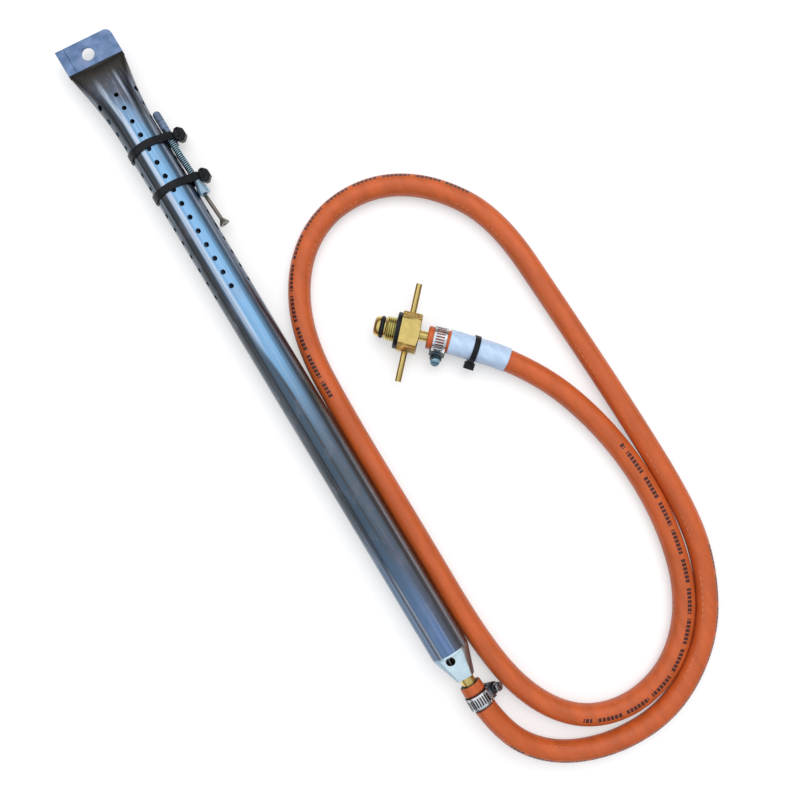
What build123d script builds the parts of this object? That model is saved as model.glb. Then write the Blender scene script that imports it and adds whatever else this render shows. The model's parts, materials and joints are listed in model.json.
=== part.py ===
from build123d import *
from math import cos, radians, sin, sqrt, tan
import os

# Gas fire poker: a perforated burner tube with a flattened hanging lug, a crimped air cone,
# a hose with worm-drive clamps, and a bull-nose cylinder connector with a tommy-bar nut.
# Millimetres. +X runs along the burner from the lug to the hose, +Z is up from the ground,
# and the origin is the centre of the hole in the lug.

# ---- fits ----
seat_gap = 0.02             # radial or axial, pieces that are pressed or clamped together
running_gap = 0.05          # radial, pieces that turn in one another
end_gap = 0.3               # axial, between pieces that turn past one another

# ---- burner tube ----
tube_od = 25.4
tube_wall = 1.0
tube_end_x = 444.0          # from the lug hole to the open end of the tube
tube_y = 1.7                # the tube's axis stands this far off the lug hole
lug_width = 37.8
lug_side = -0.7             # centre of the lug, off the tube's axis
lug_hole_d = 8.4
lug_hole_edge = 9.8         # from the hole's centre to the end of the lug
lug_neck = 8.3              # from the hole's centre to the crease
lug_skew = 5.0              # degrees, the end and the crease are both cut askew
lug_corner_r = 4.0
lug_edge_r = 0.8
seam_inset = 5.8            # weld seam, from the edge of the lug
seam_width = 0.4
seam_depth = 0.3
flare_length = 58.0
flare_steps = 14            # sections of the flare, closer together toward the lug
flare_crowding = 1.5
flare_spread = (1.25, 2.6)  # how the width falls off: (1 - along ** a) ** b
flare_rise = (2.0, 0.55)    # how the thickness grows: (1 - (1 - along) ** a) ** b
flare_mouth = 0.06          # share of the thickness at the crease

port_d = 3.0
port_rows = 5
ports_per_row = 15
port_pitch = 10.0
first_port_x = 35.6
port_roll = 6.5             # degrees, the top row leans toward +Y

# ---- tail cone ----
cone_length = 19.6
cone_rim = 1.2              # full round rim against the tube
cone_skirt = 8.0            # spigot inside the tube
cone_wall = 1.0
cone_flat_height = 9.9      # from the axis to the front flat at the rim
cone_tip_width = 12.8
cone_tip_height = 5.7       # from the axis to the flat at the tip
cone_tip_flat = 9.0
cone_tip_solid = 4.0
cone_roll = -3.0            # degrees about the axis
air_hole_d = 6.0
air_hole_inset = 4.7        # from the rim
air_hole_side = -2.1        # off the cone's middle line

# ---- brass hose tail and jet of the burner ----
neck_d = 9.3
neck_length = 5.4           # visible between the cone and the hose
tail_shank_d = 7.4
tail_shank_length = 7.5
tail_bore_d = 4.0
jet_thread_d = 5.0
jet_thread_length = 5.0
jet_head_flats = 6.0
jet_head_length = 3.0
jet_nose_length = 2.5
jet_nose_d = 2.6
jet_bore_d = 2.4
jet_orifice_d = 0.8
jet_orifice_depth = 1.0
barb_d = 7.8
barb_root_d = 6.8
barb_pitch = 4.0
burner_barbs = 4

# ---- hose ----
hose_od = 14.5
hose_bore = 8.0
hose_straight = 33.0        # straight lead out of the burner
strap_thickness = 1.2       # the cable ties, which the burner lies on

# ---- worm-drive hose clamps ----
band_width = 8.6
band_thickness = 0.7
band_slot_length = 5.6
band_slot_width = 0.9
band_slot_step = 13.0       # degrees
band_slots = 21
tail_turn = 66.0            # degrees from the screw to the end of the free end's curve
tail_tip = 2.8              # straight end of the free end
housing_turn = 38.0         # degrees from the screw to the end of the band's lap
housing_width = 10.0
housing_length = 9.2
housing_wall = 0.9
housing_cheek = 3.0
worm_d = 5.9
worm_band_gap = 0.15
clamp_neck = 0.95           # from the housing to the screw's head
clamp_head_d = 6.0
clamp_head_length = 4.2
clamp_slot_width = 1.2
clamp_slot_depth = 1.4
clamp_head_chamfer = 0.4
burner_clamp_x = 11.5       # from the end of the hose to the middle of the band
burner_clamp_roll = -131.9  # degrees about the hose, so that the housing just meets the ground
cylinder_clamp_x = 8.1
cylinder_clamp_roll = 124.5

# ---- cylinder connector ----
nut_square = 25.4
nut_chamfer = 5.0
nut_length = 12.5
nut_back_d = 25.0           # across the turned chamfer on the back face
nut_thread_d = 16.0
nut_thread_length = 9.3
nut_thread_chamfer = 0.8
nut_back_angle = 20.0
nut_back_wall = 4.5
nut_relief_d = 14.4         # undercut behind the thread, under the seal
spigot_shank_d = 10.9
spigot_land_d = 8.0
spigot_collar_d = 13.2
spigot_collar_length = 0.6
spigot_bore_d = 3.0
ring_groove_width = 3.0
nose_length = 3.7
nose_tip_d = 7.0
nose_d = 13.4
nose_bulge = (0.27, 0.68)    # shares of its length and of its rise where the curve passes
o_ring_section = 2.8
o_ring_od = 14.6
land_proud = 0.5            # the spigot's land stands this far out of the back of the nut
stem_d = 6.6
stem_length = 5.4           # from the back of the nut to the hose
connector_barbs = 3
seal_od = 23.8
seal_length = 3.0
t_bar_d = 4.0
t_bar_reach = 32.0          # from the axis to the end of a bar
t_bar_depth = 3.6
t_bar_inset = 5.6           # from the front face of the nut's body
t_bar_edge = 0.3

# ---- tag on the hose ----
tag_length = 38.9
tag_start = 14.2            # from the end of the hose
tag_slack = 0.95
tag_thickness = 0.25
tag_tie_width = 3.6
tag_tie_thickness = 0.9
tag_tie_place = 15.1        # from the near edge of the tag
tag_tie_head = (6.4, 4.6, 5.0)
tag_tie_roll = 96.0         # degrees about the hose

# ---- cable ties and the fixings that they hold on the tube ----
tie_places = (72.5, 102.8)
strap_width = 4.8
tie_head_length = 9.4
tie_head_depth = 7.4
tie_head_height = 6.2
tie_head_z = -0.9
tie_head_corner = 2.6
tie_head_shift = 1.2
tie_head_edge = 0.5
tie_tail = 1.3              # the trimmed end of the strap, above the head
tie_tail_inset = 2.6        # from the head's inner face
tie_slot_width = 5.4
tie_slot_gap = 1.4
tie_slot_depth = 2.2

plug_d = 5.2
plug_length = 26.0
plug_x = 52.2
plug_z = -3.0
plug_stand_off = 0.5        # clear of the flare that it starts beside
plug_bore_d = 2.8
plug_bore_depth = 19.0
plug_slit = 0.8
plug_ribs = 6
plug_rib_pitch = 3.0
plug_rib_width = 0.9
plug_rib_depth = 0.35

bolt_d = 4.0
bolt_tip_inset = 12.0       # the bolt lies over the plug, this far from the plug's mouth
bolt_thread_length = 40.2
bolt_point = 5.0
bolt_point_d = 1.2
bolt_z = 1.9
bolt_lean = 2.2             # degrees, the bolt drifts off the tube toward its head
bolt_cone_length = 5.8
bolt_cone_d = 4.5
bolt_head_d = 7.7
bolt_head_rim = 2.9
bolt_socket_flats = 3.5
bolt_socket_depth = 1.8

screw_d = 2.6
screw_tip_gap = 1.3         # from the plug's mouth
screw_shank_length = 53.2
screw_point = 4.0
screw_point_d = 0.6
screw_z = -3.5
screw_lean = 3.4
screw_cone_length = 3.4
screw_head_d = 6.7
screw_head_rim = 0.8
screw_slot_width = 0.9
screw_slot_length = 3.4
fixing_gap = 0.1

# ---- worked out from the sizes above ----
tube_r = tube_od / 2
hose_r = hose_od / 2
plug_mouth_x = plug_x + plug_length
ground_z = -tube_r - seat_gap - strap_thickness
hose_z = ground_z + hose_r
connector_z = ground_z + nut_square / 2
lug_thickness = 2 * tube_wall
flare_end_x = lug_neck + flare_length
cone_tip_x = tube_end_x + cone_length
hose_start_x = cone_tip_x + neck_length
band_outer_r = hose_r + seat_gap + band_thickness
worm_height = band_outer_r + seat_gap + band_thickness + worm_band_gap + worm_d / 2
nut_bore_d = spigot_shank_d + 2 * running_gap
nut_back_bore_d = spigot_land_d + 2 * running_gap
spigot_shoulder = nut_length - nut_back_wall - end_gap
spigot_front = -nut_thread_length - end_gap
burner_line = Location((0, tube_y, 0))

# The hose's route: straight off the burner, down to the ground, a wide loop back past the
# burner, along its side, and a smaller loop inside the first one to the connector.
hose_route = [
    (hose_start_x, tube_y, 0),
    (hose_start_x + hose_straight, tube_y, 0),
    (536, 21.5, hose_z + 1.2),
    (554, 60, hose_z),
    (552.3, 106.4, hose_z),
    (524.8, 149.3, hose_z),
    (484.5, 173.2, hose_z),
    (442, 179.2, hose_z),
    (372, 178.4, hose_z),
    (292, 174.8, hose_z),
    (223, 170.6, hose_z),
    (184, 146.5, hose_z),
    (163.5, 114, hose_z),
    (162.8, 76, hose_z),
    (184, 43.8, hose_z),
    (225, 23.6, hose_z),
    (288, 21, hose_z),
    (366, 21.7, hose_z),
    (453, 20.9, hose_z),
    (497, 29.5, hose_z),
    (526, 51.2, hose_z),
    (537.4, 83.6, hose_z),
    (528.2, 120.9, hose_z),
    (495.8, 148.2, hose_z),
    (449.3, 162.3, hose_z),
    (397.3, 164.1, hose_z),
    (347.4, 153.2, hose_z),
    (311.9, 135.1, hose_z + 1.4),
    (282.2, 109.9, connector_z),
    (265.7, 92.5, connector_z),
]


def turned(outline):
    """A piece turned about the X axis from (x, radius) points, closed along the axis."""
    first, last = outline[0], outline[-1]
    points = [(first[0], 0), *outline, (last[0], 0)]
    return revolve(make_face(Polyline(*points, close=True)), Axis.X)


def rod(start_x, end_x, diameter):
    """A round bar along X."""
    return Plane.YZ.offset(start_x) * extrude(Circle(diameter / 2), end_x - start_x)


def barbs(start_x, count, toward):
    """Saw-tooth rings of a hose barb as (x, radius) points, running toward +X or -X."""
    points = []
    for index in range(count):
        near = start_x + toward * index * barb_pitch
        points.append((near, barb_d / 2))
        points.append((near + toward * barb_pitch / 4, barb_d / 2))
        points.append((near + toward * barb_pitch, barb_root_d / 2))
    return points


def flare(inset):
    """The round tube spreading into the flattened lug, inset by a wall."""
    sections = []
    for step in range(flare_steps + 1):
        along = (step / flare_steps) ** flare_crowding
        spread = (1 - along ** flare_spread[0]) ** flare_spread[1]
        rise = (1 - (1 - along) ** flare_rise[0]) ** flare_rise[1]
        rise = flare_mouth + (1 - flare_mouth) * rise
        skew = radians(lug_skew * (1 - along))
        width = tube_od + (lug_width - tube_od) * spread - 2 * inset
        height = max(lug_thickness + (tube_od - lug_thickness) * rise - 2 * inset, seam_depth)
        plane = Plane(origin=(lug_neck + flare_length * along, lug_side * (1 - along), 0),
                      x_dir=(sin(skew), cos(skew), 0), z_dir=(cos(skew), -sin(skew), 0))
        sections.append(plane * Ellipse(width / 2, height / 2))
    return loft(sections, ruled=True)


def lug_plate():
    """The flattened end: two walls pressed together, cut askew, with the hanging hole."""
    low, high = lug_side - lug_width / 2, lug_side + lug_width / 2
    slope = tan(radians(lug_skew))
    overlap = 2 * tube_wall
    hole_y = -tube_y
    corners = [(-lug_hole_edge + slope * (y - hole_y), y) for y in (low, high)]
    corners += [(lug_neck + overlap + slope * (y - lug_side), y) for y in (high, low)]
    outline = Polyline(*corners, close=True)
    plate = extrude(make_face(outline), lug_thickness / 2, both=True)
    outer_corner = plate.edges().filter_by(Axis.Z).sort_by(Axis.X)[:2].sort_by(Axis.Y)[-1]
    plate = fillet(outer_corner, lug_corner_r)
    sides = plate.edges().filter_by(Axis.X)
    plate = fillet(sides, lug_edge_r)
    seam = Location((0, low + seam_inset, lug_thickness / 2 - seam_depth / 2))
    plate -= seam * Box(2 * (lug_hole_edge + lug_neck), seam_width, seam_depth)
    return plate - Location((0, hole_y, 0)) * Cylinder(lug_hole_d / 2, 2 * lug_thickness)


def burner_tube():
    outside = flare(0) + rod(flare_end_x, tube_end_x, tube_od)
    inside = flare(tube_wall) + rod(flare_end_x, tube_end_x, tube_od - 2 * tube_wall)
    tube = outside + lug_plate() - inside
    drill = Location((0, 0, tube_r)) * Cylinder(port_d / 2, tube_r)
    drills = []
    for row in range(port_rows):
        turn = Rotation(360 / port_rows * row - port_roll, 0, 0)
        for index in range(ports_per_row):
            drills.append(Location((first_port_x + port_pitch * index, 0, 0)) * turn * drill)
    return tube - drills


def flatted_section(x, width, flat_width, height):
    """A section with flats above and below and round sides."""
    half = flat_width / 2
    outline = [
        Line((-half, height), (half, height)),
        ThreePointArc((half, height), (width / 2, 0), (half, -height)),
        Line((half, -height), (-half, -height)),
        ThreePointArc((-half, -height), (-width / 2, 0), (-half, height)),
    ]
    plane = Plane(origin=(x, 0, 0), x_dir=(0, 1, 0), z_dir=(1, 0, 0))
    return plane * make_face(outline)


def tail_cone():
    """The crimped air cone: a spigot in the tube, a round rim, and two flats to the tip."""
    rim_x = tube_end_x + cone_rim
    skirt_x = tube_end_x - cone_skirt
    skirt_r = tube_r - tube_wall - seat_gap
    bore_r = skirt_r - cone_wall
    flat_inside = cone_flat_height - cone_wall
    cavity_end = cone_tip_x - cone_tip_solid
    share = (cavity_end - rim_x) / (cone_tip_x - rim_x)
    rim_flat = 2 * sqrt(tube_r ** 2 - cone_flat_height ** 2)
    end_width = tube_od + (cone_tip_width - tube_od) * share
    end_flat = rim_flat + (cone_tip_flat - rim_flat) * share
    end_height = cone_flat_height + (cone_tip_height - cone_flat_height) * share
    cone = loft([
        flatted_section(rim_x, tube_od, rim_flat, cone_flat_height),
        flatted_section(cone_tip_x, cone_tip_width, cone_tip_flat, cone_tip_height),
    ], ruled=True)
    cone += rod(tube_end_x, rim_x, tube_od) + rod(skirt_x, tube_end_x, 2 * skirt_r)
    cone -= loft([
        flatted_section(tube_end_x, 2 * bore_r, 2 * sqrt(bore_r ** 2 - flat_inside ** 2),
                        flat_inside),
        flatted_section(cavity_end, end_width - 2 * cone_wall, end_flat - cone_wall,
                        end_height - cone_wall),
    ], ruled=True)
    cone -= rod(skirt_x, tube_end_x, 2 * bore_r)
    cone -= rod(cavity_end, cone_tip_x, neck_d + 2 * seat_gap)
    air_hole = Location((tube_end_x + air_hole_inset, air_hole_side, 0))
    cone -= air_hole * Cylinder(air_hole_d / 2, tube_od)
    return Rotation(-cone_roll, 0, 0) * cone


def burner_hose_tail():
    neck_start = cone_tip_x - cone_tip_solid
    shank_start = neck_start - tail_shank_length
    outline = [(shank_start, tail_shank_d / 2), (neck_start, tail_shank_d / 2),
               (neck_start, neck_d / 2), (hose_start_x, neck_d / 2)]
    outline += barbs(hose_start_x, burner_barbs, 1)
    end_x = outline[-1][0]
    jet_seat = rod(shank_start, shank_start + jet_thread_length + end_gap,
                   jet_thread_d + 2 * seat_gap)
    return turned(outline) - rod(shank_start, end_x, tail_bore_d) - jet_seat


def gas_jet():
    seat_x = cone_tip_x - cone_tip_solid - tail_shank_length
    head_x = seat_x - jet_head_length
    nose_x = head_x - jet_nose_length
    nose = turned([(nose_x, jet_nose_d / 2), (head_x, jet_head_flats / 2)])
    hexagon = RegularPolygon(jet_head_flats / 2, 6, major_radius=False)
    head = Plane.YZ.offset(head_x) * extrude(hexagon, jet_head_length)
    thread = rod(seat_x, seat_x + jet_thread_length, jet_thread_d)
    jet = nose + head + thread
    bore_x = nose_x + jet_orifice_depth
    jet -= rod(bore_x, seat_x + jet_thread_length, jet_bore_d)
    return jet - rod(nose_x, bore_x, jet_orifice_d)


def hose_path():
    """Straight runs joined by arcs as large as their two runs allow."""
    points = [Vector(*point) for point in hose_route]
    radii = []
    for before, here, after in zip(points, points[1:], points[2:]):
        turn = radians((here - before).get_angle(after - here))
        shorter = min((here - before).length, (after - here).length)
        radii.append(0.45 * shorter / tan(turn / 2))
    print("hose arc radii:", [round(radius) for radius in radii])
    return FilletPolyline(*points, radius=radii)


def gas_hose(path):
    section = Circle(hose_r) - Circle(hose_bore / 2)
    start = Plane(origin=path @ 0, z_dir=path % 0)
    hose = sweep(start * section, path=path)
    print("hose length", round(path.length, 1), "volume over section times length",
          round(hose.volume / (section.area * path.length), 5))
    return hose


def clamp_band(head_side):
    """A slotted band round the hose, with its free end run on through the housing."""
    inner, outer = band_outer_r, band_outer_r + band_thickness
    start = radians(90 + head_side * housing_turn)
    end = radians(90 - head_side * tail_turn)
    angles = (start, (start + end) / 2, end)
    tip = Vector(sin(end), -cos(end)) * head_side * tail_tip
    inside = [Vector(cos(angle), sin(angle)) * inner for angle in angles]
    outside = [Vector(cos(angle), sin(angle)) * outer for angle in reversed(angles)]
    free_end = make_face([
        ThreePointArc(*inside),
        Polyline(inside[-1], inside[-1] + tip, outside[0] + tip, outside[0]),
        ThreePointArc(*outside),
        Line(outside[-1], inside[0]),
    ])
    band = Cylinder(inner, band_width) + extrude(free_end, band_width / 2, both=True)
    band -= Cylinder(hose_r + seat_gap, band_width)
    slot = Location((inner, 0, 0)) * Box(4 * band_thickness, band_slot_width, band_slot_length)
    first = 90 + housing_turn + band_slot_step / 2
    slots = [Rotation(0, 0, first + band_slot_step * index) * slot for index in range(band_slots)]
    return Plane.YZ * (band - slots)


def clamp_housing():
    """The saddle over the band that carries the worm screw."""
    shell_r = worm_d / 2 + running_gap + housing_wall
    profile = Circle(shell_r)
    foot = worm_height - hose_r
    profile += Location((0, -foot / 2)) * Rectangle(2 * shell_r, foot)
    profile += Location((0, -foot + housing_cheek / 2)) * Rectangle(housing_width, housing_cheek)
    plane = Plane(origin=(0, 0, worm_height), x_dir=(1, 0, 0), z_dir=(0, -1, 0))
    housing = plane * extrude(profile, housing_length / 2, both=True)
    band_zone = Plane.YZ * Cylinder(band_outer_r + band_thickness + 2 * seat_gap,
                                    band_width + 2 * running_gap)
    hose_zone = Plane.YZ * Cylinder(hose_r + seat_gap, 2 * housing_width)
    bore = plane * Cylinder(worm_d / 2 + running_gap, 2 * housing_length)
    return housing - band_zone - hose_zone - bore


def clamp_screw(head_side):
    """A worm with a slotted head that stands out of the housing."""
    head_start = housing_length / 2 + clamp_neck
    worm = Cylinder(worm_d / 2, housing_length + clamp_neck)
    worm = Location((0, 0, clamp_neck / 2)) * worm
    head = Location((0, 0, head_start + clamp_head_length / 2))
    head_piece = Cylinder(clamp_head_d / 2, clamp_head_length)
    head_piece = chamfer(head_piece.edges().filter_by(GeomType.CIRCLE).sort_by(Axis.Z)[-1],
                         clamp_head_chamfer)
    slot_place = Location((0, 0, clamp_head_length / 2 - clamp_slot_depth / 2))
    head_piece -= slot_place * Box(clamp_head_d, clamp_slot_width, clamp_slot_depth)
    screw = worm + head * head_piece
    plane = Plane(origin=(0, 0, worm_height), x_dir=(1, 0, 0), z_dir=(0, head_side, 0))
    return plane * screw


def connector_frame():
    """X along the connector's axis toward the hose, from the front face of the nut's body."""
    end, before = Vector(*hose_route[-1]), Vector(*hose_route[-2])
    along = (before - end).normalized()
    return Plane(origin=end - along * (nut_length + stem_length), x_dir=along, z_dir=(0, 0, 1))


def bull_nose_spigot():
    """The brass spine of the connector: bull nose, ring groove, shank, stem and hose barb."""
    groove_end = spigot_front - spigot_collar_length
    groove_start = groove_end - ring_groove_width
    tip = groove_start - nose_length
    groove_r = o_ring_od / 2 - o_ring_section - seat_gap
    stem_start = nut_length + land_proud
    hose_start = nut_length + stem_length
    shoulder = [(groove_start, nose_d / 2), (groove_start, groove_r), (groove_end, groove_r),
                (groove_end, spigot_collar_d / 2), (spigot_front, spigot_collar_d / 2),
                (spigot_front, spigot_shank_d / 2), (spigot_shoulder, spigot_shank_d / 2),
                (spigot_shoulder, spigot_land_d / 2), (stem_start, spigot_land_d / 2),
                (stem_start, stem_d / 2), (hose_start, stem_d / 2)]
    shoulder += barbs(hose_start, connector_barbs, 1)
    end_x = shoulder[-1][0]
    bulge = (tip + nose_length * nose_bulge[0],
             nose_tip_d / 2 + (nose_d - nose_tip_d) / 2 * nose_bulge[1])
    outline = make_face([
        Line((tip, 0), (tip, nose_tip_d / 2)),
        ThreePointArc((tip, nose_tip_d / 2), bulge, shoulder[0]),
        Polyline(*shoulder, (end_x, 0)),
        Line((end_x, 0), (tip, 0)),
    ])
    return revolve(outline, Axis.X) - rod(tip, end_x, spigot_bore_d)


def nose_o_ring():
    middle = spigot_front - spigot_collar_length - ring_groove_width / 2
    return Plane.YZ.offset(middle) * Torus((o_ring_od - o_ring_section) / 2, o_ring_section / 2)


def coupling_nut():
    """Square body with chamfered corners, male thread in front, sockets for the two bars."""
    square = chamfer(Rectangle(nut_square, nut_square).vertices(), nut_chamfer)
    body = Plane.YZ * extrude(square, nut_length)
    reach = nut_square
    run = (reach - nut_back_d / 2) * tan(radians(nut_back_angle))
    body &= turned([(0, reach), (nut_length - run, reach), (nut_length, nut_back_d / 2)])
    thread = turned([(-nut_thread_length, nut_thread_d / 2 - nut_thread_chamfer),
                     (-nut_thread_length + nut_thread_chamfer, nut_thread_d / 2),
                     (-seal_length, nut_thread_d / 2), (-seal_length, nut_relief_d / 2),
                     (0, nut_relief_d / 2)])
    nut = body + thread
    nut -= rod(-nut_thread_length, nut_length - nut_back_wall, nut_bore_d)
    nut -= rod(0, nut_length, nut_back_bore_d)
    for side in (1, -1):
        socket = Plane(origin=(t_bar_inset, side * (nut_square / 2 - t_bar_depth), 0),
                       z_dir=(0, side, 0))
        nut -= socket * extrude(Circle(t_bar_d / 2 + seat_gap), nut_square)
    return nut


def t_bar(side):
    """One tommy bar, pressed into its socket."""
    start = nut_square / 2 - t_bar_depth
    bar = extrude(Circle(t_bar_d / 2), t_bar_reach - start)
    bar = chamfer(bar.edges().sort_by(Axis.Z)[-1], t_bar_edge)
    return Plane(origin=(t_bar_inset, side * start, 0), z_dir=(0, side, 0)) * bar


def seal_washer():
    washer = rod(-seal_length, 0, seal_od)
    return washer - rod(-seal_length, 0, nut_thread_d + 2 * seat_gap)


def tag_frame(path):
    """X along the hose through the middle of the tag, away from the connector."""
    near, far = [path.position_at(path.length - tag_start - step, position_mode=PositionMode.LENGTH)
                 for step in (0, tag_length)]
    along = (far - near).normalized()
    return Plane(origin=near, x_dir=along, z_dir=Vector(0, 0, 1) - along * along.Z)


def hose_tag():
    inner_d = hose_od + 2 * tag_slack
    return rod(0, tag_length, inner_d + 2 * tag_thickness) - rod(0, tag_length, inner_d)


def tag_tie():
    inner_r = hose_r + tag_slack + tag_thickness + seat_gap
    strap = rod(0, tag_tie_width, 2 * (inner_r + tag_tie_thickness))
    length, depth, height = tag_tie_head
    head = Location((tag_tie_width / 2, 0, inner_r + depth / 2)) * Box(length, height, depth)
    tie = Location((tag_tie_place, 0, 0)) * (strap + head - rod(0, tag_tie_width, 2 * inner_r))
    return Rotation(tag_tie_roll, 0, 0) * tie


def leaning(tip_x, radius, height, lean, allowance):
    """X along a fixing that rests against the tube at its tip and leans off it."""
    side = sqrt((tube_r + allowance + radius) ** 2 - height ** 2)
    slope = radians(lean)
    return Plane(origin=(tip_x, side, height), x_dir=(cos(slope), sin(slope), 0), z_dir=(0, 0, 1))


plug_frame = leaning(plug_x, plug_d / 2, plug_z, 0, plug_stand_off)
bolt_frame = leaning(plug_mouth_x - bolt_tip_inset, bolt_d / 2, bolt_z, bolt_lean, fixing_gap)
screw_frame = leaning(plug_mouth_x + screw_tip_gap, screw_d / 2, screw_z, screw_lean, fixing_gap)


def wall_plug():
    plug = rod(0, plug_length, plug_d)
    plug = fillet(plug.edges().sort_by(Axis.X)[0], plug_d / 2 - fixing_gap)
    plug -= rod(plug_length - plug_bore_depth, plug_length, plug_bore_d)
    slit_length = plug_bore_depth - plug_d
    slit_start = plug_length - plug_bore_depth
    for index in range(plug_ribs):
        groove_x = slit_start + plug_rib_pitch * index
        groove = rod(groove_x, groove_x + plug_rib_width, 2 * plug_d)
        plug -= groove - rod(groove_x, groove_x + plug_rib_width, plug_d - 2 * plug_rib_depth)
    slit = Location((slit_start + slit_length / 2, 0, 0))
    return plug_frame * (plug - slit * Box(slit_length, plug_slit, plug_d))


def fixing_bolt():
    cone_x = bolt_thread_length
    rim_x = cone_x + bolt_cone_length
    end_x = rim_x + bolt_head_rim
    bolt = turned([(0, bolt_point_d / 2), (bolt_point, bolt_d / 2), (cone_x, bolt_d / 2),
                   (cone_x, bolt_cone_d / 2), (rim_x, bolt_head_d / 2), (end_x, bolt_head_d / 2)])
    socket = RegularPolygon(bolt_socket_flats / 2, 6, major_radius=False)
    bolt -= Plane.YZ.offset(end_x - bolt_socket_depth) * extrude(socket, bolt_socket_depth)
    return bolt_frame * bolt


def fixing_screw():
    cone_x = screw_shank_length
    rim_x = cone_x + screw_cone_length
    end_x = rim_x + screw_head_rim
    screw = turned([(0, screw_point_d / 2), (screw_point, screw_d / 2), (cone_x, screw_d / 2),
                    (rim_x, screw_head_d / 2), (end_x, screw_head_d / 2)])
    place = Location((end_x, 0, 0))
    screw -= place * Box(2 * screw_slot_width, screw_slot_width, screw_slot_length)
    screw -= place * Box(2 * screw_slot_width, screw_slot_length, screw_slot_width)
    return screw_frame * screw


def cable_tie(x, held):
    """A strap pulled tight round the tube and the pieces held, with its ratchet head outside."""
    rounds = [(0, 0, tube_r)]
    for frame, radius in held:
        run = (x + strap_width / 2 - frame.origin.X) * frame.x_dir.Y / frame.x_dir.X
        rounds.append((frame.origin.Y + run, frame.origin.Z, radius))
    inner, outer = [
        make_hull([edge for y, z, radius in rounds
                   for edge in (Location((y, z)) * Circle(radius + grow)).edges()])
        for grow in (seat_gap, seat_gap + strap_thickness)]
    strap = Plane.YZ.offset(x) * extrude(outer - inner, strap_width / 2, both=True)
    head_y = max(y + radius for y, z, radius in rounds) + seat_gap
    head = Box(tie_head_length, tie_head_depth, tie_head_height)
    head = chamfer(head.edges().filter_by(Axis.Z), tie_head_corner)
    head = chamfer(head.faces().sort_by(Axis.Z)[-1].edges(), tie_head_edge)
    tail_y = tie_tail_inset - tie_head_depth / 2
    slot = Box(tie_slot_width, tie_slot_gap, tie_slot_depth)
    head -= Location((-tie_head_shift, tail_y + tie_slot_gap, tie_head_height / 2)) * slot
    tail = Box(strap_width, strap_thickness, tie_head_height)
    head += Location((-tie_head_shift, tail_y, tie_tail)) * tail
    return strap + Location((x + tie_head_shift, head_y + tie_head_depth / 2, tie_head_z)) * head


def write(node, place, piece):
    export_step(place * piece, f"parts/{node}.step")


os.makedirs("parts", exist_ok=True)

write("burner_tube", burner_line, burner_tube())
write("tail_cone", burner_line, tail_cone())
write("burner_hose_tail", burner_line, burner_hose_tail())
write("gas_jet", burner_line, gas_jet())

write("wall_plug", burner_line, wall_plug())
write("fixing_bolt", burner_line, fixing_bolt())
write("fixing_screw", burner_line, fixing_screw())
front_held = [(plug_frame, plug_d / 2), (bolt_frame, bolt_d / 2)]
rear_held = [(bolt_frame, bolt_d / 2), (screw_frame, screw_d / 2)]
write("cable_tie_front", burner_line, cable_tie(tie_places[0], front_held))
write("cable_tie_rear", burner_line, cable_tie(tie_places[1], rear_held))

path = hose_path()
write("gas_hose", Location(), gas_hose(path))

connector = connector_frame()
write("bull_nose_spigot", connector, bull_nose_spigot())
write("nose_o_ring", connector, nose_o_ring())
write("coupling_nut", connector, coupling_nut())
write("t_bar_left", connector, t_bar(1))
write("t_bar_right", connector, t_bar(-1))
write("seal_washer", connector, seal_washer())

burner_clamp = (burner_line * Location((hose_start_x + burner_clamp_x, 0, 0))
                * Rotation(burner_clamp_roll, 0, 0))
cylinder_clamp = (connector.location * Location((nut_length + stem_length + cylinder_clamp_x, 0, 0))
                  * Rotation(cylinder_clamp_roll, 0, 0))
for name, place, head_side in (("burner", burner_clamp, -1), ("cylinder", cylinder_clamp, 1)):
    write(f"{name}_clamp_band", place, clamp_band(head_side))
    write(f"{name}_clamp_housing", place, clamp_housing())
    write(f"{name}_clamp_screw", place, clamp_screw(head_side))

tag = tag_frame(path)
write("hose_tag", tag, hose_tag())
write("tag_tie", tag, tag_tie())
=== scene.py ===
import json
from math import cos, exp, pi, radians, sin, sqrt, tan

import bmesh
import bpy
from mathutils import Matrix, Vector


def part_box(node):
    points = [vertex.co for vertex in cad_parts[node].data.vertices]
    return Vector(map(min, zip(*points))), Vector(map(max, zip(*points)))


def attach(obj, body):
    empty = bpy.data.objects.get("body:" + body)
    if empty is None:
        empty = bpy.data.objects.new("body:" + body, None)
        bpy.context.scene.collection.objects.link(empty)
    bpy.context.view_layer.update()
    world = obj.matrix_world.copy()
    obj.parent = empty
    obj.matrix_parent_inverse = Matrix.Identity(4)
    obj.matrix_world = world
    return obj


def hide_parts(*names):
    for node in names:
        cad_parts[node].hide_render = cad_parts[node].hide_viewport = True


bl_info = {
    "name": "Gas fire poker",
    "version": (1, 0, 0),
    "blender": (4, 5, 0),
    "location": "3D View > Sidebar > Fire poker",
    "description": "Dresses the solids of a gas fire poker: burner, hose, clamps and connector",
    "category": "Object",
}

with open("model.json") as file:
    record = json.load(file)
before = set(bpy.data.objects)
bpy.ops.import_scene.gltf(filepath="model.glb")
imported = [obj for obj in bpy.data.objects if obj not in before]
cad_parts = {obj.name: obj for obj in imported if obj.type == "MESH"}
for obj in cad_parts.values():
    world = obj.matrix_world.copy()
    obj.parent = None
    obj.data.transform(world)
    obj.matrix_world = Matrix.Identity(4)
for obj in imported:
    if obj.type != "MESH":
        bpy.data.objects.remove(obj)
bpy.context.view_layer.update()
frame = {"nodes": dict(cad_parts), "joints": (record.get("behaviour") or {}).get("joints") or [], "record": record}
record = frame["record"]
BODY_OF = {node: body for body, nodes in record["behaviour"]["bodies"].items() for node in nodes}
JOINTS = {joint["name"]: joint for joint in frame["joints"]}
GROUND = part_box("cable_tie_front")[0].z
TUBE_Y = sum(corner.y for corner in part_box("burner_tube")) / 2 + 0.0007
MM = 0.001

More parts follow.
